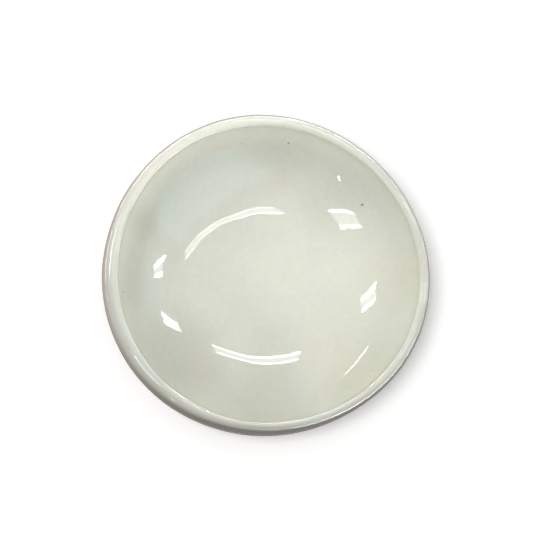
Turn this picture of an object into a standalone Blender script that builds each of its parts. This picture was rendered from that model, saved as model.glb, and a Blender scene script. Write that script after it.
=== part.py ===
"""Evaporating dish: a shallow, spoutless bowl of fired clay with a glaze coat inside and one outside.

Units are metres and +Z is up. The origin is the centre of the foot's underside, where the dish stands.

All three pieces come from one turned cross-section. It is walked from the middle of the floor, up the
inside, over the lip, down the outside, round the foot and in to the middle of the underside, and each
of its points keeps the direction that faces out of the dish. A coat lies between the surface and a
little way under it, and the clay starts a gap below that.
"""

from math import acos, ceil, cos, degrees, pi, radians, sin

import bmesh
import bpy

# Driving dimensions
OUTER_RADIUS = 0.0500
HEIGHT = 0.0230

# Lip: a tight round inside its crest and a fuller one outside
LIP_INNER_RADIUS = 0.0009
LIP_OUTER_RADIUS = 0.0028

# Inside: a level middle, then four arcs that steepen to upright under the lip.
# The slopes are in degrees above level, at the outer end of each arc.
FLOOR_RADIUS = 0.2000
BOWL_RADIUS = 0.0440
SIDE_RADIUS = 0.0230
THROAT_RADIUS = 0.0070
FLOOR_SLOPE = 4.0
BOWL_SLOPE = 26.0
SIDE_SLOPE = 60.0

# Outside: an almost upright collar, a shoulder, and a shallow belly that runs in to the foot
# The leans are in degrees from upright, at the lower end of each arc.
COLLAR_RADIUS = 0.0320
SHOULDER_RADIUS = 0.0100
BELLY_RADIUS = 0.0430
COLLAR_LEAN = 10.0
SHOULDER_LEAN = 54.0
GLAZE_LINE_LEAN = 72.0  # where the outside glaze stops
BELLY_LEAN = 76.0

# Foot ring
FOOT_FILLET = 0.0006
FOOT_EDGE = 0.0005
FOOT_LAND = 0.0044
FOOT_RECESS = 0.0009

# Glaze coats
GLAZE_THICKNESS = 0.0004
GAP = 0.0003
CLAY_DEPTH = GLAZE_THICKNESS + GAP

# How far firing pulled the rim out of round, as shares of the radius at the lip
OVAL_SHARE = 0.0160
OVAL_DIRECTION = 22.0  # degrees from +X
THREE_LOBE_SHARE = 0.0112
THREE_LOBE_DIRECTION = 101.0  # degrees from +X, one of the three lobes
WARP_POWER = 1.6  # the pull fades towards the foot, which the kiln shelf holds flat

# Mesh fineness
SEGMENTS = 64
CHORD_ERROR = 0.00005  # the most that an edge of the section leaves its arc by
SMOOTH_BELOW = 35.0  # degrees

# Travel directions along the cross-section, in degrees above the outward radius
OUTWARD = 0.0
UP = 90.0
DOWN = -90.0
INWARD = -180.0
UP_FROM_BELOW = -270.0

# Materials: base colour, roughness
CLAY = ((0.72, 0.66, 0.57, 1.0), 0.75)
INSIDE_GLAZE = ((0.74, 0.75, 0.68, 1.0), 0.06)
OUTSIDE_GLAZE = ((0.64, 0.59, 0.51, 1.0), 0.10)


class Walk:
    """A path in the (radius, height) plane that keeps its material on the right-hand side."""

    def __init__(self, radius, height, heading):
        self.radius = radius
        self.height = height
        self.heading = heading
        self.points = []
        self._mark()

    def _mark(self):
        angle = radians(self.heading)
        self.points.append((self.radius, self.height, -sin(angle), cos(angle)))

    def straight(self, length):
        """Go on in the same direction."""
        angle = radians(self.heading)
        self.radius += length * cos(angle)
        self.height += length * sin(angle)
        self._mark()

    def bend(self, bend_radius, heading):
        """Follow an arc until the direction of travel is heading."""
        turn = heading - self.heading
        edges = ceil(abs(turn) / degrees(2.0 * acos(1.0 - CHORD_ERROR / bend_radius)))
        side = 1.0 if turn > 0.0 else -1.0
        centre_radius = self.radius - side * bend_radius * sin(radians(self.heading))
        centre_height = self.height + side * bend_radius * cos(radians(self.heading))
        start = self.heading
        for edge in range(1, edges + 1):
            self.heading = start + turn * edge / edges
            angle = radians(self.heading)
            self.radius = centre_radius + side * bend_radius * sin(angle)
            self.height = centre_height - side * bend_radius * cos(angle)
            self._mark()


INSIDE_ARCS = (
    (FLOOR_RADIUS, FLOOR_SLOPE),
    (BOWL_RADIUS, BOWL_SLOPE),
    (SIDE_RADIUS, SIDE_SLOPE),
    (THROAT_RADIUS, UP),
)


def bowl_run():
    """How far the inside's arcs reach outwards, and how far they climb."""
    run = 0.0
    rise = 0.0
    start = OUTWARD
    for arc_radius, end in INSIDE_ARCS:
        run += arc_radius * (sin(radians(end)) - sin(radians(start)))
        rise += arc_radius * (cos(radians(start)) - cos(radians(end)))
        start = end
    return run, rise


def inside_walk():
    """From the middle of the floor to the outer edge of the lip."""
    run, rise = bowl_run()
    walk = Walk(0.0, HEIGHT - LIP_INNER_RADIUS - rise, OUTWARD)
    walk.straight(OUTER_RADIUS - LIP_OUTER_RADIUS - LIP_INNER_RADIUS - run)
    for arc_radius, end in INSIDE_ARCS:
        walk.bend(arc_radius, end)
    walk.bend(LIP_INNER_RADIUS, OUTWARD)
    walk.bend(LIP_OUTER_RADIUS, DOWN)
    return walk.points


def outside_walk(start_lean, end_lean):
    """Down the glazed outside, between two leans from upright given in degrees."""
    lean = radians(start_lean)
    walk = Walk(
        OUTER_RADIUS - COLLAR_RADIUS * (1.0 - cos(lean)),
        HEIGHT - LIP_OUTER_RADIUS - COLLAR_RADIUS * sin(lean),
        DOWN - start_lean,
    )
    walk.bend(COLLAR_RADIUS, DOWN - COLLAR_LEAN)
    walk.bend(SHOULDER_RADIUS, DOWN - SHOULDER_LEAN)
    walk.bend(BELLY_RADIUS, DOWN - end_lean)
    return walk.points


def underside_walk():
    """From the glaze line, round the foot ring, to the middle of the underside."""
    radius, height = outside_walk(0.0, GLAZE_LINE_LEAN)[-1][:2]
    walk = Walk(radius, height, DOWN - GLAZE_LINE_LEAN)
    walk.bend(BELLY_RADIUS, DOWN - BELLY_LEAN)
    walk.bend(FOOT_FILLET, DOWN)
    walk.straight(walk.height - FOOT_EDGE)
    walk.bend(FOOT_EDGE, INWARD)
    walk.straight(FOOT_LAND)
    walk.bend(FOOT_EDGE / 2.0, UP_FROM_BELOW)
    walk.bend(FOOT_RECESS - FOOT_EDGE / 2.0, INWARD)
    walk.straight(walk.radius)
    return walk.points


def at_depth(points, depth):
    """The same stretch of surface, moved straight into the dish."""
    return [(radius - depth * out, height - depth * up) for radius, height, out, up in points]


def warp(angle, height):
    """How much the radius is stretched at this angle and height."""
    oval = OVAL_SHARE * cos(2.0 * (angle - radians(OVAL_DIRECTION)))
    lobes = THREE_LOBE_SHARE * cos(3.0 * (angle - radians(THREE_LOBE_DIRECTION)))
    return 1.0 + (oval + lobes) * max(0.0, height / HEIGHT) ** WARP_POWER


def ring(mesh, radius, height):
    """One turn of vertices, or a single vertex where the section meets the axis."""
    if radius < GAP:
        return [mesh.verts.new((0.0, 0.0, height))]
    turn = []
    for step in range(SEGMENTS):
        angle = 2.0 * pi * step / SEGMENTS
        far = radius * warp(angle, height)
        turn.append(mesh.verts.new((far * cos(angle), far * sin(angle), height)))
    return turn


def bridge(mesh, first, second):
    """Faces between two neighbouring turns, either of which may be a single vertex."""
    for step in range(SEGMENTS):
        following = (step + 1) % SEGMENTS
        if len(first) == 1:
            mesh.faces.new((first[0], second[step], second[following]))
        elif len(second) == 1:
            mesh.faces.new((first[step], second[0], first[following]))
        else:
            mesh.faces.new((first[step], second[step], second[following], first[following]))


def glossy(name, colour, roughness):
    """A Principled material with one colour."""
    material = bpy.data.materials.new(name)
    material.use_nodes = True
    shader = material.node_tree.nodes["Principled BSDF"]
    shader.inputs["Base Color"].default_value = colour
    shader.inputs["Roughness"].default_value = roughness
    return material


def turned_piece(name, section, closed, finish):
    """Spin a cross-section, given as (radius, height) points, into one solid."""
    shape = bmesh.new()
    turns = [ring(shape, radius, height) for radius, height in section]
    for first, second in zip(turns, turns[1:]):
        bridge(shape, first, second)
    if closed:
        bridge(shape, turns[-1], turns[0])
    bmesh.ops.recalc_face_normals(shape, faces=shape.faces)
    mesh = bpy.data.meshes.new(name)
    shape.to_mesh(mesh)
    shape.free()
    mesh.shade_smooth()
    mesh.set_sharp_from_angle(angle=radians(SMOOTH_BELOW))
    mesh.materials.append(glossy(name, *finish))
    piece = bpy.data.objects.new(name, mesh)
    bpy.context.scene.collection.objects.link(piece)


def make_clay_body():
    """The fired bowl: under the coats where it is glazed, at the surface where it is bare."""
    lip_and_inside = at_depth(inside_walk(), CLAY_DEPTH)
    outside = at_depth(outside_walk(0.0, GLAZE_LINE_LEAN), CLAY_DEPTH)
    underside = at_depth(underside_walk(), 0.0)
    turned_piece("clay_body", lip_and_inside + outside[1:] + underside, False, CLAY)


def make_inner_glaze():
    """The coat that lines the bowl and rolls over the lip."""
    surface = inside_walk()
    back = at_depth(surface, GLAZE_THICKNESS)
    turned_piece("inner_glaze", at_depth(surface, 0.0) + back[::-1], False, INSIDE_GLAZE)


def make_outer_glaze():
    """The coat outside, from just under the lip to the glaze line above the foot."""
    seam_gap = degrees(GAP / COLLAR_RADIUS)
    foot_gap = degrees(GAP / BELLY_RADIUS)
    surface = outside_walk(seam_gap, GLAZE_LINE_LEAN - foot_gap)
    back = at_depth(surface, GLAZE_THICKNESS)
    turned_piece("outer_glaze", at_depth(surface, 0.0) + back[::-1], True, OUTSIDE_GLAZE)


def main():
    for old in list(bpy.data.objects):
        bpy.data.objects.remove(old)
    make_clay_body()
    make_inner_glaze()
    make_outer_glaze()


main()
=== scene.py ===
"""The looks of the evaporating dish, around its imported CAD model.

Units are metres, +Z is up, and the dish stands on z = 0. The dish is turned again here, finer than in
the CAD model and to the same section, with the unevenness of fired and glazed clay.
"""

from math import ceil, cos, pi, radians, sin, tan

import bpy
import numpy as np
from mathutils import Matrix, Vector


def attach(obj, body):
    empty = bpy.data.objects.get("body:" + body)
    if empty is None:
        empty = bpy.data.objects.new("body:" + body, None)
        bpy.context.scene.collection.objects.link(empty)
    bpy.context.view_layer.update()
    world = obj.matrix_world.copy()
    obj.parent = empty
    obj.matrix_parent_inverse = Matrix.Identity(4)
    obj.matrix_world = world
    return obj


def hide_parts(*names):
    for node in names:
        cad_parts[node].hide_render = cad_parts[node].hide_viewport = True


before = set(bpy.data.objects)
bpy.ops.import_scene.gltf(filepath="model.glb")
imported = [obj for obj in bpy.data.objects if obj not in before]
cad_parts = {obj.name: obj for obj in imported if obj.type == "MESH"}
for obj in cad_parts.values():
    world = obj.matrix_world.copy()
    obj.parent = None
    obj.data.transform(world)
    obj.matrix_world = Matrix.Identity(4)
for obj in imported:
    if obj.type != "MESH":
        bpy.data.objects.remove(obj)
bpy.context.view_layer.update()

MM = 0.001

# The section, the same as the CAD model's. Slopes are in degrees above level and leans in degrees
# from upright, each at the far end of its arc.
OUTER_RADIUS = 50.0 * MM
HEIGHT = 23.0 * MM
LIP_INNER_RADIUS = 0.9 * MM
LIP_OUTER_RADIUS = 2.8 * MM
INSIDE_ARCS = ((200.0 * MM, 4.0), (44.0 * MM, 26.0), (23.0 * MM, 60.0), (7.0 * MM, 90.0))
INNER_EDGE = OUTER_RADIUS - LIP_OUTER_RADIUS - LIP_INNER_RADIUS
COLLAR_RADIUS = 32.0 * MM
SHOULDER_RADIUS = 10.0 * MM
BELLY_RADIUS = 43.0 * MM
COLLAR_LEAN = 10.0
SHOULDER_LEAN = 54.0
GLAZE_LINE_LEAN = 72.0
BELLY_LEAN = 76.0
FOOT_FILLET = 0.6 * MM
FOOT_EDGE = 0.5 * MM
FOOT_LAND = 4.4 * MM
FOOT_RECESS = 0.9 * MM
GLAZE_THICKNESS = 0.40 * MM
CLAY_CLEARANCE = 0.04 * MM

# The outside glaze's lower edge: how far it wanders, in waves given as length on a rim of radius 1,
# share and seed, and the rounded roll that it ends in
LINE_WANDER = 1.3 * MM
LINE_WAVES = ((1.6, 0.30, 21), (0.5, 0.10, 22))
LINE_MARGIN = 1.6 * MM
ROLL_LENGTH = 0.9 * MM
ROLL_RISE = 0.14 * MM
ROLL_PLACE = 1.1  # the roll's thickest place, in roll lengths from its end
ROLL_CLOSES = 0.98  # how nearly the roll rounds off to nothing

# How far firing pulled the rim out of round, as shares of the radius at the lip
OVAL_SHARE = 0.0160
OVAL_DIRECTION = 22.0  # degrees from +X
THREE_LOBE_SHARE = 0.0112
THREE_LOBE_DIRECTION = 101.0  # degrees from +X, one of the three lobes
WARP_POWER = 1.6  # the pull fades towards the foot

# How the lip's width strays: its inner edge leans in at one side, as waves round the rim
WIDE_SIDE = 207.0  # degrees from +X
WIDE_WAVES = (0.35 * MM, 0.40 * MM, 0.30 * MM)
WIDE_FROM = 33.0 * MM  # the radius that the leaning starts from

# Along one side the lip is broader still, and falls away softly at its inner edge
SOFT_SIDE = 160.0  # degrees from +X
SOFT_GATHER = 2  # the higher, the shorter the side
SOFT_BROADER = 0.55 * MM
SOFT_DROP = 0.9 * MM
SOFT_REACH = 1.7 * MM
SOFT_MIDDLE = 0.3 * SOFT_REACH  # where it falls the most, beyond the inner edge

# At one side the lip also tips outwards: how steeply, and how tight the turn at its crest is
TIP_SIDE = 222.0  # degrees from +X
TIP_GATHER = 4
TIP_SLOPE = 0.62
TIP_CREST = 0.8 * MM
TIP_NARROWS = 0.26  # how much the rim draws in for each unit that its edge drops
TIP_FOOT = 5.0 * MM  # the drop fades down the outside, to nothing at this height
TIP_FADE = 1.5  # the higher, the quicker

# Slow unevenness of the clay and a finer one of the glaze: wavelength, amount, seed
CLAY_SWELL = (17.0 * MM, 0.030 * MM, 3)
GLAZE_SWELL = (6.5 * MM, 0.006 * MM, 8)

# Throwing rings that show through the glaze
RINGS_FROM = 34.0 * MM
RINGS_GROW = 5.0 * MM
RING_SPACING = 2.3 * MM
RING_HEIGHT = 0.006 * MM
RING_WANDER = (30.0 * MM, 0.4 * MM, 12)

# Ripples and turning marks in the bare clay, which fade to nothing where the foot stands
BARE_RIPPLE = (2.4 * MM, 0.012 * MM, 31)
TURNING_SPACING = 0.45 * MM * 2.0 * pi
TURNING_HEIGHT = 0.015 * MM
BARE_FADE = 0.6 * MM

# Fineness of the turned meshes
SEGMENTS = 512
ROW_SPACING = 0.5 * MM
OUTSIDE_SPACING = 0.6 * ROW_SPACING
ROW_TURN = 6.0  # degrees that the section may turn between two rows
BACK_SPACING = 2.5 * MM
BACK_TURN = 18.0  # the same where the surface is hidden
CLAY_SPACING = 0.8 * MM
ON_AXIS = 0.01 * MM  # a row closer to the axis than this is one point
SHARP_ABOVE = 40.0  # degrees

# Travel directions along the section, in degrees above the outward radius
OUTWARD = 0.0
DOWN = -90.0
INWARD = -180.0
UP_FROM_BELOW = -270.0

# Camera: where it looks from, how wide its view is at the dish, and where that view is centred
CAMERA_AZIMUTH = -38.0  # degrees from -Y
CAMERA_ELEVATION = 75.5
CAMERA_DISTANCE = 600.0 * MM
VIEW_WIDTH = 164.4 * MM
LOOK_HEIGHT = 12.0 * MM
PAN_RIGHT = 1.15 * MM
PAN_UP = 3.74 * MM
SENSOR_WIDTH = 36.0


# ---------------------------------------------------------------- the section


class Walk:
    """A path in the (radius, height) plane that keeps its material on the right-hand side."""

    def __init__(self, radius, height, heading, spacing=ROW_SPACING, turn=ROW_TURN):
        self.radius = radius
        self.height = height
        self.heading = heading
        self.spacing = spacing
        self.turn = turn
        self.rows = []
        self._mark()

    def _mark(self):
        angle = radians(self.heading)
        self.rows.append((self.radius, self.height, -sin(angle), cos(angle)))

    def straight(self, length):
        """Go on in the same direction."""
        edges = max(1, ceil(length / self.spacing))
        angle = radians(self.heading)
        for _ in range(edges):
            self.radius += length / edges * cos(angle)
            self.height += length / edges * sin(angle)
            self._mark()

    def bend(self, bend_radius, heading):
        """Follow an arc until the direction of travel is heading."""
        turn = heading - self.heading
        edges = ceil(radians(abs(turn)) * bend_radius / self.spacing)
        edges = max(edges, ceil(abs(turn) / self.turn))
        side = 1.0 if turn > 0.0 else -1.0
        centre_radius = self.radius - side * bend_radius * sin(radians(self.heading))
        centre_height = self.height + side * bend_radius * cos(radians(self.heading))
        start = self.heading
        for edge in range(1, edges + 1):
            self.heading = start + turn * edge / edges
            angle = radians(self.heading)
            self.radius = centre_radius + side * bend_radius * sin(angle)
            self.height = centre_height - side * bend_radius * cos(angle)
            self._mark()


def bowl_run():
    """How far the inside's arcs reach outwards, and how far they climb."""
    run = 0.0
    rise = 0.0
    start = OUTWARD
    for arc_radius, end in INSIDE_ARCS:
        run += arc_radius * (sin(radians(end)) - sin(radians(start)))
        rise += arc_radius * (cos(radians(start)) - cos(radians(end)))
        start = end
    return run, rise


def inside_walk(**fineness):
    """From the middle of the floor to the outer edge of the lip."""
    run, rise = bowl_run()
    walk = Walk(0.0, HEIGHT - LIP_INNER_RADIUS - rise, OUTWARD, **fineness)
    walk.straight(INNER_EDGE - run)
    for arc_radius, end in INSIDE_ARCS:
        walk.bend(arc_radius, end)
    walk.bend(LIP_INNER_RADIUS, OUTWARD)
    walk.bend(LIP_OUTER_RADIUS, DOWN)
    return np.array(walk.rows)


def outside_walk(**fineness):
    """From the outer edge of the lip down to the glaze line."""
    walk = Walk(OUTER_RADIUS, HEIGHT - LIP_OUTER_RADIUS, DOWN, **fineness)
    walk.bend(COLLAR_RADIUS, DOWN - COLLAR_LEAN)
    walk.bend(SHOULDER_RADIUS, DOWN - SHOULDER_LEAN)
    walk.bend(BELLY_RADIUS, DOWN - GLAZE_LINE_LEAN)
    return np.array(walk.rows)


def underside_walk(**fineness):
    """From the glaze line, round the foot ring, to the middle of the underside."""
    radius, height = outside_walk()[-1][:2]
    walk = Walk(radius, height, DOWN - GLAZE_LINE_LEAN, **fineness)
    walk.bend(BELLY_RADIUS, DOWN - BELLY_LEAN)
    walk.bend(FOOT_FILLET, DOWN)
    walk.straight(walk.height - FOOT_EDGE)
    walk.bend(FOOT_EDGE, INWARD)
    walk.straight(FOOT_LAND)
    walk.bend(FOOT_EDGE / 2.0, UP_FROM_BELOW)
    walk.bend(FOOT_RECESS - FOOT_EDGE / 2.0, INWARD)
    walk.straight(walk.radius)
    return np.array(walk.rows)


# ---------------------------------------------------------------- turned surfaces

ANGLES = np.arange(SEGMENTS) * 2.0 * pi / SEGMENTS


def warp(angles, heights):
    """How much the radius is stretched at these angles and heights."""
    oval = OVAL_SHARE * np.cos(2.0 * (angles - radians(OVAL_DIRECTION)))
    lobes = THREE_LOBE_SHARE * np.cos(3.0 * (angles - radians(THREE_LOBE_DIRECTION)))
    return 1.0 + (oval + lobes) * np.clip(heights / HEIGHT, 0.0, None) ** WARP_POWER


def smooth(share):
    """A share from 0 to 1, eased in and out."""
    return share * share * (3.0 - 2.0 * share)


def swell(points, wavelength, amount, seed, waves=14):
    """Smooth unevenness: a sum of plane waves in seeded directions, about one wavelength long."""
    dice = np.random.default_rng(seed)
    total = np.zeros(points.shape[:-1])
    for _ in range(waves):
        direction = dice.normal(size=3)
        direction /= np.linalg.norm(direction)
        length = wavelength * dice.uniform(0.75, 1.5)
        total += np.sin(points @ direction * (2.0 * pi / length) + dice.uniform(0.0, 2.0 * pi))
    return amount * total / (0.5 * waves) ** 0.5


def upper(up):
    """True on the inside and over the lip, false on the outside and underneath."""
    return up > -0.001


def side_share(angles, side, gather):
    """1 at one side of the dish, fading to 0 at the opposite side."""
    return (0.5 + 0.5 * np.cos(angles - radians(side))) ** gather


def soft_drop(angles, radius, height, up):
    """How far the lip's inner edge falls away along its soft side."""
    from_edge = np.hypot(radius - INNER_EDGE, height - HEIGHT + LIP_INNER_RADIUS)
    beyond = np.where(radius > INNER_EDGE, from_edge, -from_edge)
    drop = SOFT_DROP * np.exp(-((beyond - SOFT_MIDDLE) / SOFT_REACH) ** 2)
    at_rim = upper(up) & (radius > WIDE_FROM)
    return side_share(angles, SOFT_SIDE, SOFT_GATHER) * drop * np.where(at_rim, 1.0, 0.0)


def lean_in(angles, radius, up):
    """How far the inside leans in: nothing at the floor, all of it at the lip's crest, nothing outside."""
    away = angles - radians(WIDE_SIDE)
    waves = sum(amount * np.cos((k + 1) * away) for k, amount in enumerate(WIDE_WAVES))
    waves = waves + SOFT_BROADER * side_share(angles, SOFT_SIDE, SOFT_GATHER)
    climb = np.clip((radius - WIDE_FROM) / (INNER_EDGE - WIDE_FROM), 0.0, 1.0)
    over_lip = np.clip((OUTER_RADIUS - radius) / LIP_OUTER_RADIUS, 0.0, 1.0)
    return waves * np.where(upper(up), smooth(climb) * over_lip, 0.0)


def tip(angles, radius, height, up):
    """How far the lip drops where it tips outwards; down the outside the drop fades."""
    past_crest = np.clip(radius - INNER_EDGE - LIP_INNER_RADIUS, 0.0, None)
    beyond = np.where(upper(up), past_crest, LIP_OUTER_RADIUS)
    drop = beyond - TIP_CREST * (1.0 - np.exp(-beyond / TIP_CREST))
    lip_end = HEIGHT - LIP_OUTER_RADIUS
    outside_share = np.clip((height - TIP_FOOT) / (lip_end - TIP_FOOT), 0.0, 1.0) ** TIP_FADE
    toward = side_share(angles, TIP_SIDE, TIP_GATHER)
    return TIP_SLOPE * toward * drop * np.where(upper(up), 1.0, outside_share)


def spread(rows):
    """A section as four arrays of rows by segments: radius, height, outward and upward normal."""
    grid = np.repeat(rows[:, None, :], SEGMENTS, axis=1)
    return np.moveaxis(grid, -1, 0)


def turned(grid, depth=0.0):
    """Points of a turned surface that lies depth under the section, and its outward normals."""
    radius, height, out, up = grid
    drop = tip(ANGLES, radius, height, up)
    drawn_in = lean_in(ANGLES, radius, up) + TIP_NARROWS * drop
    far = (radius - depth * out) * warp(ANGLES, height) - drawn_in
    level = height - depth * up - drop - soft_drop(ANGLES, radius, height, up)
    points = np.stack([far * np.cos(ANGLES), far * np.sin(ANGLES), level], axis=-1)
    normals = np.stack([out * np.cos(ANGLES), out * np.sin(ANGLES), up], axis=-1)
    return points, normals


def turned_mesh(name, sheets, closed):
    """One mesh from sheets of rows that follow each other, with a point where a row meets the axis."""
    rows = np.concatenate(sheets)
    vertices = []
    row_indices = []
    for row in rows:
        first = len(vertices)
        if np.hypot(row[0, 0], row[0, 1]) < ON_AXIS:
            vertices.append(row.mean(axis=0))
            row_indices.append([first] * SEGMENTS)
        else:
            vertices.extend(row)
            row_indices.append(list(range(first, first + SEGMENTS)))
    following_rows = row_indices[1:] + ([row_indices[0]] if closed else [])
    faces = []
    for inner, outer in zip(row_indices, following_rows):
        for step in range(SEGMENTS):
            after = (step + 1) % SEGMENTS
            corners = (inner[step], outer[step], outer[after], inner[after])
            faces.append(tuple(dict.fromkeys(corners)))
    mesh = bpy.data.meshes.new(name)
    mesh.from_pydata([tuple(vertex) for vertex in vertices], [], faces)
    mesh.validate()
    mesh.shade_smooth()
    mesh.set_sharp_from_angle(angle=radians(SHARP_ABOVE))
    piece = bpy.data.objects.new(name, mesh)
    bpy.context.scene.collection.objects.link(piece)
    return piece


def along(grid):
    """Distance travelled along the section, in rows by segments."""
    radius, height = grid[0], grid[1]
    steps = np.hypot(np.diff(radius, axis=0), np.diff(height, axis=0))
    return np.concatenate([np.zeros((1, SEGMENTS)), np.cumsum(steps, axis=0)])


def glaze_skin(grid, depth=0.0):
    """A glazed surface: slow swells of the clay, finer ones of the glaze, throwing rings near the rim."""
    points, normals = turned(grid, depth)
    uneven = swell(points, *CLAY_SWELL) + swell(points, *GLAZE_SWELL)
    radius = np.hypot(points[..., 0], points[..., 1])
    rings = np.sin((radius + swell(points, *RING_WANDER)) * (2.0 * pi / RING_SPACING))
    uneven = uneven + RING_HEIGHT * rings * np.clip((radius - RINGS_FROM) / RINGS_GROW, 0.0, 1.0)
    return points + normals * uneven[..., None]


def glaze_line():
    """How far short of the CAD model's glaze line the outside glaze stops, at each angle."""
    rim = np.stack([np.cos(ANGLES), np.sin(ANGLES), 0.0 * ANGLES], axis=-1)
    wander = sum(swell(rim, *waves) for waves in LINE_WAVES)
    return LINE_MARGIN + LINE_WANDER * np.clip(wander, -1.0, 1.0)


def make_inner_glaze():
    """The inside coat, fine in front and coarse at the back, where it lies against the clay."""
    front = glaze_skin(spread(inside_walk()))
    back = turned(spread(inside_walk(spacing=BACK_SPACING, turn=BACK_TURN)), GLAZE_THICKNESS)[0]
    return turned_mesh("inner_glaze_coat", [front, back[::-1]], False)


def make_outer_glaze():
    """The outside coat, drawn up at each angle to its own glaze line and rounded off there."""
    whole = spread(outside_walk(spacing=OUTSIDE_SPACING))
    travel = along(whole)
    length = travel[-1]
    share = travel / length
    drawn = travel * (1.0 - share ** 2 * glaze_line() / length)
    grid = np.stack([
        np.stack([np.interp(drawn[:, k], travel[:, k], part[:, k]) for k in range(SEGMENTS)], axis=1)
        for part in whole
    ])
    left = along(grid)[-1] - along(grid)
    into_roll = np.clip(1.0 - left / ROLL_LENGTH, 0.0, 1.0)
    swollen = ROLL_RISE * np.exp(-((left / ROLL_LENGTH - ROLL_PLACE) ** 2))
    thickness = (GLAZE_THICKNESS + swollen) * np.sqrt(1.0 - ROLL_CLOSES * into_roll ** 2)
    front = glaze_skin(grid, GLAZE_THICKNESS - thickness)
    back = turned(grid, GLAZE_THICKNESS)[0]
    return turned_mesh("outer_glaze_coat", [front, back[::-1]], True)


def make_clay_body():
    """The clay, which shows below the glaze line, on the foot and on the underside."""
    depth = GLAZE_THICKNESS + CLAY_CLEARANCE
    hidden = {"spacing": BACK_SPACING, "turn": BACK_TURN}
    inside = turned(spread(inside_walk(**hidden)), depth)[0]
    outside = spread(outside_walk(spacing=CLAY_SPACING))
    left = along(outside)[-1] - along(outside)
    bare = np.clip(1.0 - left / LINE_MARGIN, 0.0, 1.0)
    points, normals = turned(outside, depth * (1.0 - smooth(bare)))
    coated_skin = points + normals * (swell(points, *CLAY_SWELL) * (1.0 - bare))[..., None]
    underside = spread(underside_walk(spacing=CLAY_SPACING))
    points, normals = turned(underside)
    marks = TURNING_HEIGHT * np.sin(along(underside) * (2.0 * pi / TURNING_SPACING))
    ripple = (swell(points, *BARE_RIPPLE) + marks) * np.clip(points[..., 2] / BARE_FADE, 0.0, 1.0)
    bare_skin = points + normals * ripple[..., None]
    return turned_mesh("fired_clay", [inside, coated_skin[1:], bare_skin[1:]], False)


# ---------------------------------------------------------------- materials


class Shading:
    """Builds one node tree. A value given to a node is linked if it is a socket, and set if it isn't."""

    def __init__(self, tree):
        self.tree = tree
        self.place = self.node("ShaderNodeTexCoord").outputs["Object"]

    def node(self, kind, settings=None, **values):
        """A new node, with its own settings and then values for its sockets."""
        made = self.tree.nodes.new(kind)
        for name, setting in (settings or {}).items():
            setattr(made, name, setting)
        for name, value in values.items():
            self.set(made, name.replace("_", " "), value)
        return made

    def set(self, node, name, value):
        """Gives a value to a socket, named by its name or its number."""
        socket = node.inputs[int(name)] if name.isdigit() else node.inputs[name]
        if isinstance(value, bpy.types.NodeSocket):
            self.tree.links.new(value, socket)
        else:
            socket.default_value = value

    def math(self, operation, first, second=0.0):
        """The result of an operation on one or two numbers."""
        made = self.node("ShaderNodeMath", {"operation": operation})
        self.set(made, "0", first)
        self.set(made, "1", second)
        return made.outputs[0]

    def times(self, first, second):
        """The product of two numbers."""
        return self.math("MULTIPLY", first, second)

    def vector(self, operation, first, second=(0.0, 0.0, 0.0)):
        """The result of an operation on one or two vectors, a number or a vector."""
        made = self.node("ShaderNodeVectorMath", {"operation": operation})
        self.set(made, "0", first)
        self.set(made, "1", second)
        return made.outputs["Value" if operation in ("LENGTH", "DISTANCE", "DOT_PRODUCT") else "Vector"]

    def ramp(self, value, low, high, to_low=0.0, to_high=1.0):
        """Follows value smoothly from low to high, and stays level beyond them."""
        made = self.node("ShaderNodeMapRange", {"interpolation_type": "SMOOTHSTEP"}, Value=value)
        limits = {"From Min": low, "From Max": high, "To Min": to_low, "To Max": to_high}
        for name, number in limits.items():
            made.inputs[name].default_value = number
        return made.outputs["Result"]

    def plan(self):
        """The place on the plan of the dish, level with its foot."""
        return self.vector("MULTIPLY", self.place, (1.0, 1.0, 0.0))

    def part(self, vector, axis):
        """One of the X, Y and Z parts of a vector."""
        return self.node("ShaderNodeSeparateXYZ", Vector=vector).outputs[axis]

    def noise(self, size, detail, seed, stretch=None):
        """Cloudy values about 0.5, with clouds of the given size."""
        place = self.place
        if stretch is not None:
            place = self.vector("MULTIPLY", place, stretch)
        place = self.vector("ADD", place, (seed, 0.37 * seed, -0.61 * seed))
        made = self.node("ShaderNodeTexNoise", Vector=place, Scale=1.0 / size, Detail=detail)
        return made.outputs["Fac"]

    def clouds(self, size, detail, seed, low, high, to_low, to_high, stretch=None):
        """The effect of noise: to_low where the noise is at low or under, to_high at high or over."""
        return self.ramp(self.noise(size, detail, seed, stretch), low, high, to_low, to_high)

    def relief(self, size, detail, seed, height):
        """Noise as unevenness of the given height."""
        return self.times(self.noise(size, detail, seed), height)

    def mix(self, share, first, second, blend="MIX"):
        """A share of the second colour over the first."""
        made = self.node("ShaderNodeMix", {"data_type": "RGBA", "blend_type": blend})
        self.set(made, "0", share)
        self.set(made, "6", (*first, 1.0) if isinstance(first, tuple) else first)
        self.set(made, "7", (*second, 1.0) if isinstance(second, tuple) else second)
        return made.outputs[2]

    def shade(self, tone, amount):
        """A colour made darker or paler by one amount."""
        grey = self.node("ShaderNodeCombineXYZ", X=amount, Y=amount, Z=amount).outputs[0]
        return self.mix(1.0, tone, grey, "MULTIPLY")

    def bump(self, height):
        """The normal of a surface that is uneven by a height in metres."""
        return self.node("ShaderNodeBump", Distance=1.0, Height=height).outputs["Normal"]


def new_material(name):
    """An empty material, its Principled shader and a builder for the rest of its nodes."""
    material = bpy.data.materials.new(name)
    material.use_nodes = True
    return material, material.node_tree.nodes["Principled BSDF"], Shading(material.node_tree)


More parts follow.
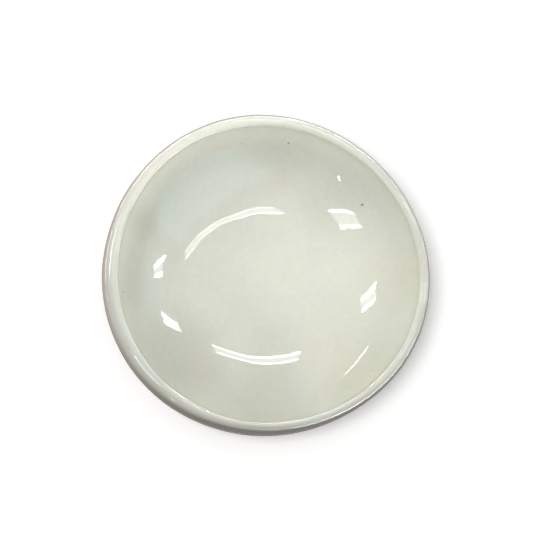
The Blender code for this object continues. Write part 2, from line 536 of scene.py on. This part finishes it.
INSIDE_TONE = (0.72, 0.73, 0.64)
INSIDE_GREEN = (0.66, 0.70, 0.61)
INSIDE_PINK = (0.71, 0.69, 0.61)
# The outside coat's own warmer tone, kept darker than the inside's as painted shade
OUTSIDE_TONE_AND_SHADE = (0.575, 0.525, 0.45)
OUTSIDE_THIN = (0.56, 0.45, 0.33)
CLAY_TONE = (0.64, 0.55, 0.44)
CLAY_FLASH = (0.56, 0.37, 0.22)
IRON = (0.16, 0.13, 0.10)

# Clouds: size, detail and seed of the noise, the two noise values between which the effect changes,
# and the effect at each of them
GREEN_CLOUDS = (15.0 * MM, 2.0, 0.3, 0.42, 0.66, 0.0, 0.45)
PINK_CLOUDS = (8.0 * MM, 3.0, 0.9, 0.50, 0.72, 0.0, 0.40)
INSIDE_MOTTLE = (1.6 * MM, 4.0, 0.5, 0.25, 0.75, 0.978, 1.02)
INSIDE_ROUGHNESS = (5.0 * MM, 3.0, 1.4, 0.3, 0.7, 0.035, 0.055)
OUTSIDE_RUNS = (5.0 * MM, 3.0, 0.7, 0.35, 0.7, 0.25, 0.85)
OUTSIDE_MOTTLE = (1.8 * MM, 4.0, 0.2, 0.25, 0.75, 0.93, 1.05)
OUTSIDE_ROUGHNESS = (4.0 * MM, 3.0, 1.1, 0.3, 0.7, 0.07, 0.14)
CLAY_GRAIN = (0.5 * MM, 5.0, 0.4, 0.3, 0.7, 0.84, 1.08)
CLAY_SMOKE = (14.0 * MM, 3.0, 2.7, 0.4, 0.7, 1.0, 0.88)
CLAY_ROUGHNESS = (1.0 * MM, 4.0, 0.8, 0.3, 0.7, 0.68, 0.90)
FLASH_CLOUDS = (9.0 * MM, 3.0, 1.9, 0.35, 0.65, 0.35, 1.0)
RUN_STRETCH = (1.0, 1.0, 0.25)

# Fine unevenness of the surface: size, detail and seed of the noise, height
INSIDE_RELIEF = (2.6 * MM, 2.0, 2.2, 0.004 * MM)
OUTSIDE_RELIEF = (2.2 * MM, 2.0, 3.1, 0.008 * MM)
CLAY_RELIEF = (0.35 * MM, 4.0, 0.1, 0.05 * MM)
CLAY_RING_SPACING = 0.16 * MM * 2.0 * pi
CLAY_RING_HEIGHT = 0.008 * MM

# Scattered specks: size of a pattern's cell, a speck's radius, share of cells with one, how dark
INSIDE_SCATTER = (4.5 * MM, 0.18 * MM, 0.5, 0.45)
OUTSIDE_SCATTER = (3.0 * MM, 0.20 * MM, 0.45, 0.5)
CLAY_SCATTER = (2.2 * MM, 0.22 * MM, 0.5, 0.6)
SCATTER_CORE = 0.4  # the share of a scattered speck's radius within which it is at its darkest

# Heights between which the outside coat thins, its collar gets painted shade and the bare clay is flashed
THIN_HEIGHTS = (15.0 * MM, 3.0 * MM)
COLLAR_HEIGHTS = (6.0 * MM, 16.0 * MM)
FLASH_HEIGHTS = (1.0 * MM, 3.0 * MM)

# Outward tilts, as outward_tilt gives them, between which each of these sets in
COLLAR_TILT = (0.55, 0.92)
ROLLED_TILT = (-0.1, 0.5)
STEEP_TILT = (-0.72, -0.92)
OUTSIDE_TILT = (0.45, 0.85)

# Painted shade and light in darker or paler patches: x, y and radius in mm, then the change of each
# channel
SHADE_AND_LIGHT_PATCHES = (
    (-24.0, -24.0, 20.0, (0.84, 0.84, 0.83)),
    (0.0, -37.0, 22.0, (0.86, 0.855, 0.84)),
    (-40.0, -4.0, 15.0, (0.95, 0.95, 0.95)),
    (22.0, 25.0, 13.0, (0.94, 0.94, 0.93)),
    (5.0, -21.0, 15.0, (0.95, 0.95, 0.95)),
    (-38.0, 16.0, 8.0, (0.93, 0.93, 0.92)),
    (9.0, 40.0, 14.0, (0.95, 0.95, 0.94)),
    (11.0, 9.0, 30.0, (1.10, 1.10, 1.10)),
    (30.0, -30.0, 20.0, (0.97, 0.95, 0.91)),
    (42.0, 0.0, 14.0, (1.00, 0.985, 0.95)),
    (-15.0, -1.0, 18.0, (1.03, 1.03, 1.03)),
    (-18.0, -31.0, 12.0, (0.965, 0.965, 0.965)),
    (32.0, 6.0, 14.0, (1.03, 1.03, 1.03)),
)
PATCH_CORE = 0.15  # the share of a patch's radius within which it is at its full strength
# The inside coat gets painted light along one side of its rim and painted shade where it rolls over the
# lip at the other, and the outside gets painted shade along one side of its collar: direction in degrees
# from
# +X, the cosines between which it sets in, then the change of each channel
PAINTED_LIGHT_RIM = (122.0, 0.0, 1.0, (1.20, 1.19, 1.19))
PAINTED_SHADE_LIP = (248.0, -0.8, 0.6, (0.78, 0.79, 0.81))
PAINTED_SHADE_COLLAR = (285.0, -0.3, 0.9, (0.435, 0.455, 0.445))
RIM_BAND = (38.0 * MM, 45.0 * MM)
# Painted light on the steep band under the lip
PAINTED_LIGHT_STEEP = (1.06, 1.06, 1.05)  # the change of each channel on the steep band under the lip
# The iron specks that the eye catches: x, y and radius in mm, then how dark. The rest are scattered.
SPECKS = (
    (31.5, 24.5, 0.55, 0.85),
    (7.5, 42.5, 0.48, 0.60),
    (-7.0, 42.0, 0.30, 0.41),
    (-43.5, -6.5, 0.34, 0.51),
    (-27.5, -34.5, 0.34, 0.43),
    (33.5, -28.5, 0.32, 0.41),
    (-6.0, -14.5, 0.30, 0.43),
    (-1.5, -15.0, 0.26, 0.41),
)
# Pimples in the glaze: x and y in mm, and the radius in mm that all of them have
PIMPLES = ((-35.4, 0.6), (-20.5, 12.5), (24.0, 14.0), (-15.0, 21.0), (8.0, -30.0))
PIMPLE_RADIUS = 0.45
PIMPLE_HEIGHT = 0.03 * MM
SPOT_CORE = 0.2  # the share of a speck's or pimple's radius that its core takes


def outward_tilt(shading, low, high):
    """Follows how far the surface faces away from the dish's axis, which is between -1 and 1."""
    away = shading.vector("NORMALIZE", shading.plan())
    normal = shading.node("ShaderNodeNewGeometry").outputs["Normal"]
    return shading.ramp(shading.vector("DOT_PRODUCT", normal, away), low, high)


def height_ramp(shading, low, high):
    """Follows the height above the foot."""
    return shading.ramp(shading.part(shading.place, "Z"), low, high)


def shade_and_light_side(shading, tone, share, azimuth, low, high, change):
    """Paints light and shade by side: changes a share of the tone along one side of the dish."""
    away = shading.vector("NORMALIZE", shading.plan())
    side = (cos(radians(azimuth)), sin(radians(azimuth)), 0.0)
    toward = shading.ramp(shading.vector("DOT_PRODUCT", away, side), low, high)
    return shading.mix(shading.times(share, toward), tone, change, "MULTIPLY")


def paint_collar_shade(shading, tone):
    """Paints shade on the upper outside along one side."""
    share = shading.times(outward_tilt(shading, *COLLAR_TILT), height_ramp(shading, *COLLAR_HEIGHTS))
    return shade_and_light_side(shading, tone, share, *PAINTED_SHADE_COLLAR)


def spot(shading, x, y, radius, core):
    """1 around a place on the plan of the dish, falling to 0 at a radius; all but core is in mm."""
    away = shading.vector("DISTANCE", shading.plan(), (x * MM, y * MM, 0.0))
    return shading.ramp(away, radius * MM, core * radius * MM)


def fine_specks(shading, tone, cell, radius, share, strength):
    """Sparse dark dots, one in a share of the cells of a seeded pattern."""
    dots = shading.node("ShaderNodeTexVoronoi", Vector=shading.place, Scale=1.0 / cell)
    near = shading.ramp(dots.outputs["Distance"], radius / cell, SCATTER_CORE * radius / cell)
    dice = shading.node("ShaderNodeSeparateColor", Color=dots.outputs["Color"]).outputs["Red"]
    chosen = shading.math("LESS_THAN", dice, share)
    return shading.mix(shading.times(shading.times(near, chosen), strength), tone, IRON)


def inside_tone(shading):
    """Cream with grey-green and pinkish clouds, and painted shade and light in patches, by the rim and
    lip.
    """
    tone = shading.mix(shading.clouds(*GREEN_CLOUDS), INSIDE_TONE, INSIDE_GREEN)
    tone = shading.mix(shading.clouds(*PINK_CLOUDS), tone, INSIDE_PINK)
    # Painted shade and painted light in patches on the inside glaze
    for x, y, radius, change in SHADE_AND_LIGHT_PATCHES:
        tone = shading.mix(spot(shading, x, y, radius, PATCH_CORE), tone, change, "MULTIPLY")
    # Painted light along one side of the rim
    rim = shading.ramp(shading.vector("LENGTH", shading.plan()), *RIM_BAND)
    tone = shade_and_light_side(shading, tone, rim, *PAINTED_LIGHT_RIM)
    # Painted shade where the coat rolls over the lip on one side
    tone = shade_and_light_side(shading, tone, outward_tilt(shading, *ROLLED_TILT), *PAINTED_SHADE_LIP)
    # Painted light on the steep band under the lip
    tone = shading.mix(outward_tilt(shading, *STEEP_TILT), tone, PAINTED_LIGHT_STEEP, "MULTIPLY")
    return shading.shade(tone, shading.clouds(*INSIDE_MOTTLE))


def inside_glaze_material(name):
    """Clouded cream with a few iron specks, and the outside's tone and painted shade where the coat rolls
    over.
    """
    material, shader, shading = new_material(name)
    # The outside's tone, with its painted shade, where the coat turns outwards
    tone = shading.mix(outward_tilt(shading, *OUTSIDE_TILT), inside_tone(shading), OUTSIDE_TONE_AND_SHADE)
    # Painted shade along one side of the collar, then scattered iron specks
    tone = fine_specks(shading, paint_collar_shade(shading, tone), *INSIDE_SCATTER)
    for x, y, radius, strength in SPECKS:
        mark = shading.times(spot(shading, x, y, radius, SPOT_CORE), strength)
        tone = shading.mix(mark, tone, IRON)
    shading.set(shader, "Base Color", tone)
    shading.set(shader, "Roughness", shading.clouds(*INSIDE_ROUGHNESS))
    height = shading.relief(*INSIDE_RELIEF)
    for x, y in PIMPLES:
        bulge = shading.times(spot(shading, x, y, PIMPLE_RADIUS, SPOT_CORE), PIMPLE_HEIGHT)
        height = shading.math("ADD", height, bulge)
    shading.set(shader, "Normal", shading.bump(height))
    return material


def outside_glaze_material(name):
    """A thinner, warmer coat, darker as painted shade, with faint runs, thinnest and brownest near its
    lower edge.
    """
    material, shader, shading = new_material(name)
    runs = shading.clouds(*OUTSIDE_RUNS, stretch=RUN_STRETCH)
    brown = shading.times(height_ramp(shading, *THIN_HEIGHTS), runs)
    # Painted shade along one side of the collar
    tone = paint_collar_shade(shading, shading.mix(brown, OUTSIDE_TONE_AND_SHADE, OUTSIDE_THIN))
    tone = shading.shade(tone, shading.clouds(*OUTSIDE_MOTTLE))
    shading.set(shader, "Base Color", fine_specks(shading, tone, *OUTSIDE_SCATTER))
    shading.set(shader, "Roughness", shading.clouds(*OUTSIDE_ROUGHNESS))
    shading.set(shader, "Normal", shading.bump(shading.relief(*OUTSIDE_RELIEF)))
    return material


def clay_material(name):
    """Bare fired clay: buff, grainy, flashed orange next to the glaze, with turning marks underneath."""
    material, shader, shading = new_material(name)
    flash = shading.times(height_ramp(shading, *FLASH_HEIGHTS), shading.clouds(*FLASH_CLOUDS))
    tone = shading.mix(flash, CLAY_TONE, CLAY_FLASH)
    tone = shading.shade(tone, shading.times(shading.clouds(*CLAY_GRAIN), shading.clouds(*CLAY_SMOKE)))
    shading.set(shader, "Base Color", fine_specks(shading, tone, *CLAY_SCATTER))
    shading.set(shader, "Roughness", shading.clouds(*CLAY_ROUGHNESS))
    from_axis = shading.vector("LENGTH", shading.plan())
    rings = shading.math("SINE", shading.times(from_axis, 2.0 * pi / CLAY_RING_SPACING))
    height = shading.math("ADD", shading.relief(*CLAY_RELIEF), shading.times(rings, CLAY_RING_HEIGHT))
    shading.set(shader, "Normal", shading.bump(height))
    return material


# ---------------------------------------------------------------- stage, light and camera

CEILING = 2.4
# Ceiling lights, in units of the ceiling's height: where each one's middle is along X and Y, how long
# and how deep it is, then how far it is turned in degrees and the share of its depth that each of its
# two tubes takes
CEILING_LIGHTS = (
    (0.20, 0.597, 0.44, 0.13, 0.0, 0.17),
    (0.945, 0.625, 0.36, 0.08, 12.0, 0.35),
    (1.08, 0.18, 0.32, 0.11, 11.0, 0.28),
    (0.297, 0.004, 0.48, 0.070, 27.0, 0.06),
    (-0.69, 0.34, 0.32, 0.17, 15.0, 0.25),
    (-0.525, -0.307, 0.37, 0.145, 22.0, 0.13),
    (-1.22, -1.76, 0.70, 0.05, 62.0, 0.50),
    (-1.36, 2.14, 0.95, 0.24, 76.0, 0.20),
)
SOFT_GLOW = 10.5  # what a ceiling light gives to matte surfaces
SOFT_BEHIND = 0.02
TUBE_GLOW = 34.0  # and how bright its tubes and its middle look in gloss
PANEL_GLOW = 4.8
TUBE_FADE = (0.45, 0.53)  # out from the middle, a tube sets in between these shares less its own
LAMP_TINT = (0.94, 1.0, 0.985)
# Windows seen in gloss: azimuth from +X, elevation, width and height in degrees, colour
WINDOWS = (
    (320.0, 36.0, 50.0, 58.0, (0.50, 0.98, 1.22)),
    (16.0, 24.0, 22.0, 44.0, (0.35, 0.55, 0.70)),
)
WINDOW_DISTANCE = 3.0
# A low, wide light for the inside coat as a matte surface, in the same terms
LOW_LIGHT = (325.0, 4.0, 80.0, 6.0, (3.7, 3.8, 3.8))
# Soft room light: lobes given by direction and strength, how bright it is everywhere, and how tightly
# the lobes gather
ROOM_LOBES = (
    ((0.0, 0.0, 1.0), 0.30),
    ((0.0, 0.87, 0.5), 0.25),
    ((-0.87, 0.0, 0.5), 0.50),
    ((0.87, 0.0, 0.5), 0.15),
    ((0.0, -0.87, 0.5), 0.15),
)
ROOM_BASE = 0.10
ROOM_GATHER = 2.0
# A bright strip low on the room's walls that only shows in gloss: its middle and half-height as
# the sine of elevation, how bright it is everywhere, and where it is brighter: azimuth from +X,
# strength and how tightly that gathers
STRIP_MIDDLE = 0.038
STRIP_HALF_HEIGHT = 0.034
STRIP_FULL = 0.7  # the share of its half-height within which it is at its full strength
STRIP_GLOW = 6.0
STRIP_LOBES = (
    (68.0, 75.0, 5.0),
    (130.0, 70.0, 5.0),
    (325.0, 55.0, 4.0),
)
# The sun-like light that gives the dish its shadow on the floor: degrees from +X, degrees from
# straight up, degrees across, and strength
KEY_AZIMUTH = 200.0
KEY_ZENITH = 20.0
KEY_WIDTH = 21.0
KEY_STRENGTH = 1.33
# The floor, in metres, and how pale it is to the camera and to all other light
FLOOR_HALF_SIZE = 12.0
FLOOR_SEEN = 1.21
FLOOR_LIT = 0.46


def view_axes(azimuth, elevation):
    """The view's right, up and backward directions, with +Y kept up the picture."""
    turn = radians(azimuth)
    tilt = radians(elevation)
    back = Vector((sin(turn) * cos(tilt), -cos(turn) * cos(tilt), sin(tilt)))
    right = Vector((0.0, 1.0, 0.0)).cross(back).normalized()
    return right, back.cross(right), back


def make_camera():
    """A camera that looks down at the dish and sees VIEW_WIDTH of it."""
    right, up, back = view_axes(CAMERA_AZIMUTH, CAMERA_ELEVATION)
    data = bpy.data.cameras.new("camera")
    data.sensor_width = SENSOR_WIDTH
    data.lens = CAMERA_DISTANCE * SENSOR_WIDTH / VIEW_WIDTH
    camera = bpy.data.objects.new("camera", data)
    centre = Vector((0.0, 0.0, LOOK_HEIGHT)) + right * PAN_RIGHT + up * PAN_UP
    turn = Matrix((right, up, back)).transposed().to_4x4()
    camera.matrix_world = Matrix.Translation(centre + back * CAMERA_DISTANCE) @ turn
    bpy.context.scene.collection.objects.link(camera)
    bpy.context.scene.camera = camera


def lights_only(lamp, receivers):
    """Makes a lamp light only the given objects."""
    lit = bpy.data.collections.new(lamp.name + "_lights")
    for receiver in receivers:
        lit.objects.link(receiver)
    lamp.light_linking.receiver_collection = lit


def area_light(name, width, height, receivers, place, turn):
    """An area light whose face has a brightness of 1 before its own strength and colour."""
    data = bpy.data.lights.new(name, "AREA")
    data.shape = "RECTANGLE"
    data.size = width
    data.size_y = height
    data.energy = pi * width * height
    data.use_nodes = True
    lamp = bpy.data.objects.new(name, data)
    lamp.location = place
    lamp.rotation_euler = turn
    bpy.context.scene.collection.objects.link(lamp)
    lights_only(lamp, receivers)
    return lamp


def ceiling_light(name, x, y, length, depth, turn, tube_share, receivers):
    """A soft lamp for matte surfaces, and for gloss a panel with a bright tube along each long side."""
    size = (length * CEILING, depth * CEILING)
    place = Vector((x, y, 1.0)) * CEILING
    behind = place + Vector((0.0, 0.0, SOFT_BEHIND))
    soft = area_light(name + "_soft", *size, receivers, behind, (0.0, 0.0, radians(turn)))
    soft.data.node_tree.nodes["Emission"].inputs["Strength"].default_value = SOFT_GLOW
    soft.visible_glossy = False
    shine = area_light(name + "_shine", *size, receivers, place, (0.0, 0.0, radians(turn)))
    shading = Shading(shine.data.node_tree)
    across = shading.part(shading.node("ShaderNodeNewGeometry").outputs["Parametric"], "Y")
    from_middle = shading.math("ABSOLUTE", shading.math("SUBTRACT", across, 0.5))
    low, high = (share - tube_share for share in TUBE_FADE)
    glow = shading.ramp(from_middle, low, high, PANEL_GLOW, TUBE_GLOW)
    shading.set(shine.data.node_tree.nodes["Emission"], "Strength", glow)
    shine.data.color = LAMP_TINT
    shine.visible_diffuse = False


def bearing(azimuth, elevation):
    """A direction given in degrees from +X and above level."""
    turn = radians(azimuth)
    tilt = radians(elevation)
    return Vector((cos(tilt) * cos(turn), cos(tilt) * sin(turn), sin(tilt)))


def facing_dish(toward):
    """The rotation of a lamp that shines back from a direction."""
    return toward.to_track_quat("Z", "Y").to_euler()


def side_light(name, azimuth, elevation, width, height, colour, receivers):
    """A light beside the dish that faces it."""
    toward = bearing(azimuth, elevation)
    sides = [2.0 * WINDOW_DISTANCE * tan(radians(angle / 2.0)) for angle in (width, height)]
    lamp = area_light(name, *sides, receivers, toward * WINDOW_DISTANCE, facing_dish(toward))
    lamp.data.color = colour
    return lamp


def key_light(floor):
    """The sun-like light, which lights only the floor."""
    data = bpy.data.lights.new("key_light", "SUN")
    data.angle = radians(KEY_WIDTH)
    data.energy = KEY_STRENGTH
    lamp = bpy.data.objects.new("key_light", data)
    lamp.rotation_euler = facing_dish(bearing(KEY_AZIMUTH, 90.0 - KEY_ZENITH))
    bpy.context.scene.collection.objects.link(lamp)
    lights_only(lamp, [floor])


def make_floor():
    """A plain pale floor that the dish stands on."""
    mesh = bpy.data.meshes.new("floor")
    signs = ((-1.0, -1.0), (1.0, -1.0), (1.0, 1.0), (-1.0, 1.0))
    corners = [(x * FLOOR_HALF_SIZE, y * FLOOR_HALF_SIZE, 0.0) for x, y in signs]
    mesh.from_pydata(corners, [], [(0, 1, 2, 3)])
    material, shader, shading = new_material("floor")
    seen = shading.node("ShaderNodeLightPath").outputs["Is Camera Ray"]
    tone = shading.ramp(seen, 0.0, 1.0, FLOOR_LIT, FLOOR_SEEN)
    shading.set(shader, "Base Color", tone)
    shading.set(shader, "Roughness", 1.0)
    shading.set(shader, "Specular IOR Level", 0.0)
    mesh.materials.append(material)
    floor = bpy.data.objects.new("floor", mesh)
    bpy.context.scene.collection.objects.link(floor)
    return floor


def lobe(shading, looking, middle, gather, strength):
    """Light that gathers about a direction."""
    facing = shading.math("MAXIMUM", shading.vector("DOT_PRODUCT", looking, middle), 0.0)
    return shading.times(shading.math("POWER", facing, gather), strength)


def make_world():
    """Soft room light, a strip that shows in gloss, and white where the camera looks past the floor."""
    world = bpy.data.worlds.new("studio")
    world.use_nodes = True
    shading = Shading(world.node_tree)
    looking = shading.node("ShaderNodeTexCoord").outputs["Generated"]
    total = ROOM_BASE
    for middle, strength in ROOM_LOBES:
        total = shading.math("ADD", lobe(shading, looking, middle, ROOM_GATHER, strength), total)
    elevation = shading.part(looking, "Z")
    off_middle = shading.math("ABSOLUTE", shading.math("SUBTRACT", elevation, STRIP_MIDDLE))
    strip = shading.ramp(off_middle, STRIP_HALF_HEIGHT, STRIP_FULL * STRIP_HALF_HEIGHT)
    glow = STRIP_GLOW
    for azimuth, strength, gather in STRIP_LOBES:
        brighter = lobe(shading, looking, bearing(azimuth, 0.0), gather, strength)
        glow = shading.math("ADD", brighter, glow)
    ray = shading.node("ShaderNodeLightPath")
    in_gloss = shading.times(shading.times(strip, glow), ray.outputs["Is Glossy Ray"])
    total = shading.math("ADD", total, in_gloss)
    seen = ray.outputs["Is Camera Ray"]
    background = world.node_tree.nodes["Background"]
    shading.set(background, "Color", (1.0, 1.0, 1.0, 1.0))
    shading.set(background, "Strength", shading.math("MAXIMUM", total, seen))
    bpy.context.scene.world = world


# ---------------------------------------------------------------- everything together

PIECES = (
    (make_clay_body, "clay_body", "fired_clay", clay_material),
    (make_inner_glaze, "inner_glaze", "inside_glaze", inside_glaze_material),
    (make_outer_glaze, "outer_glaze", "outside_glaze", outside_glaze_material),
)
pieces = []
for make, node, slot, finish in PIECES:
    piece = make()
    piece.data.materials.append(finish(slot))
    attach(piece, "root")
    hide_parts(node)
    pieces.append(piece)

for number, ceiling_place in enumerate(CEILING_LIGHTS):
    ceiling_light("ceiling_light_" + str(number + 1), *ceiling_place, pieces)
for number, opening in enumerate(WINDOWS):
    side_light("window_" + str(number + 1), *opening, pieces).visible_diffuse = False
inside_coat = pieces[1]
side_light("low_light", *LOW_LIGHT, [inside_coat]).visible_glossy = False
key_light(make_floor())
make_world()
make_camera()
bpy.context.scene.view_settings.view_transform = "Standard"
